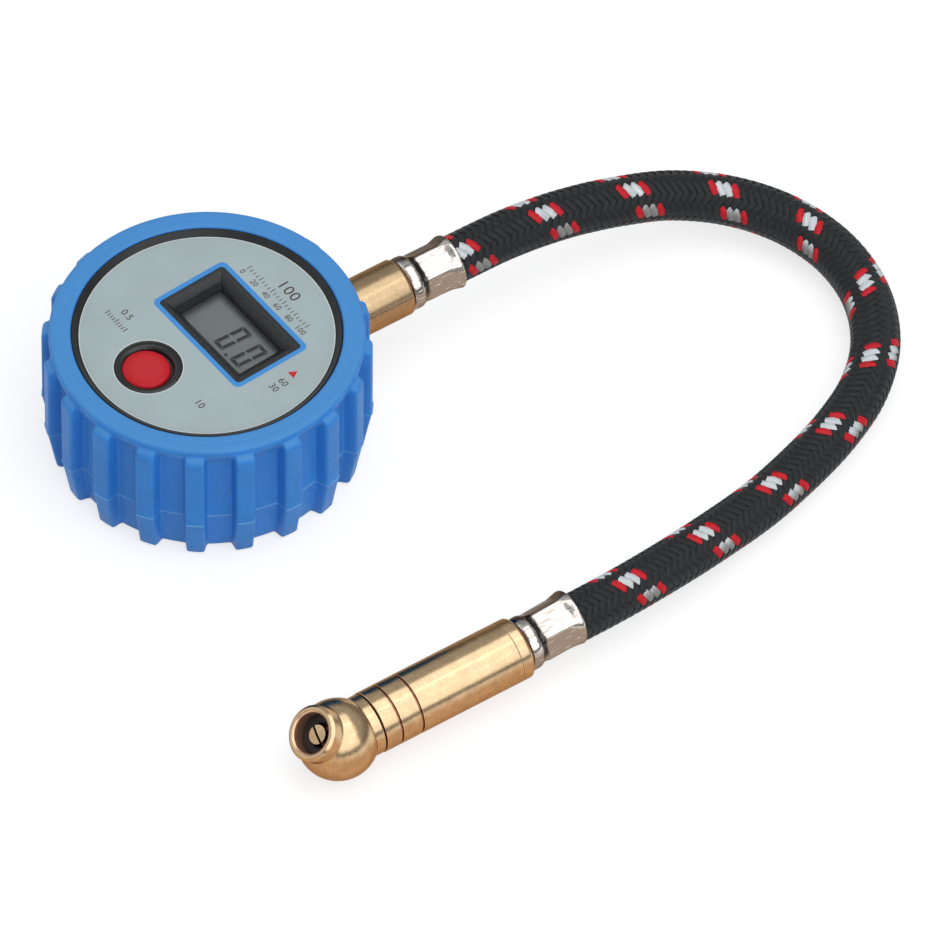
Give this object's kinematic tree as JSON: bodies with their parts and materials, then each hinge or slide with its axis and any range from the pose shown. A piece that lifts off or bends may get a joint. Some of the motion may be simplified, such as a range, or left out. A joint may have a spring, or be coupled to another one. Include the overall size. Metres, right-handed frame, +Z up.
{
  "type": "tire pressure gauge",
  "caption": "Digital tyre pressure gauge: a round display head in a ribbed rubber boot, a short braided hose with crimped ferrules, and a brass ball chuck with a swivelling head.",
  "frame": {"origin": "centre of the boot's rest face", "axes": "+Z up, out of the display face; +Y along the brass stem, away from the head; +X across the face, towards the chuck"},
  "size_m": [0.1536, 0.2049, 0.0385],
  "materials": {
    "boot_rubber": "satin",
    "black_plastic": "satin",
    "dark_cover": "satin",
    "seal_rubber": "matte",
    "steel": "satin",
    "label_film": "matte",
    "clear_lens": "gloss",
    "display_glass": "gloss",
    "elastomer": "matte",
    "board": "satin",
    "chip": "matte",
    "cell_steel": "satin",
    "ivory_plastic": "gloss",
    "red_plastic": "satin",
    "sensor_steel": "satin",
    "gold_pins": "gloss",
    "brass": "gloss",
    "chrome": "gloss",
    "braid": "matte"
  },
  "bodies": {
    "gauge": {"boot": "boot_rubber", "front_housing": "black_plastic", "rear_cover": "dark_cover", "housing_seal": "seal_rubber", "cover_screws": "steel", "face_label": "label_film", "lcd_lens": "clear_lens", "lcd_panel": "display_glass", "zebra_strips": "elastomer", "pcb": "board", "pcb_screws": "steel", "controller_chip": "chip", "battery_holder": "black_plastic", "coin_cell": "cell_steel", "switch_base": "chip", "pressure_sensor": "sensor_steel", "sensor_oring": "seal_rubber", "sensor_pins": "gold_pins", "inlet_stem": "brass", "stem_oring": "seal_rubber", "stem_nut": "brass", "gauge_ferrule": "chrome", "hose": "braid", "chuck_ferrule": "chrome", "chuck_tail": "brass", "chuck_barrel": "brass"},
    "button": {"button_cap": "red_plastic", "switch_plunger": "ivory_plastic"},
    "swivel_head": {"chuck_head": "brass", "valve_seal": "seal_rubber", "depressor": "brass", "swivel_oring": "seal_rubber", "swivel_clip": "steel"}
  },
  "joints": [
    {"name": "button_press", "type": "slide", "parent": "gauge", "child": "button", "axis": [0, 0, -1], "range_m": [0, 0.0007], "stiffness_N_per_m": 1500, "springref_m": -0.0003},
    {"name": "chuck_swivel", "type": "hinge", "parent": "gauge", "child": "swivel_head", "pos_m": [0.1034, -0.0302, 0.01], "axis": [0, 1, 0], "continuous": true}
  ]
}
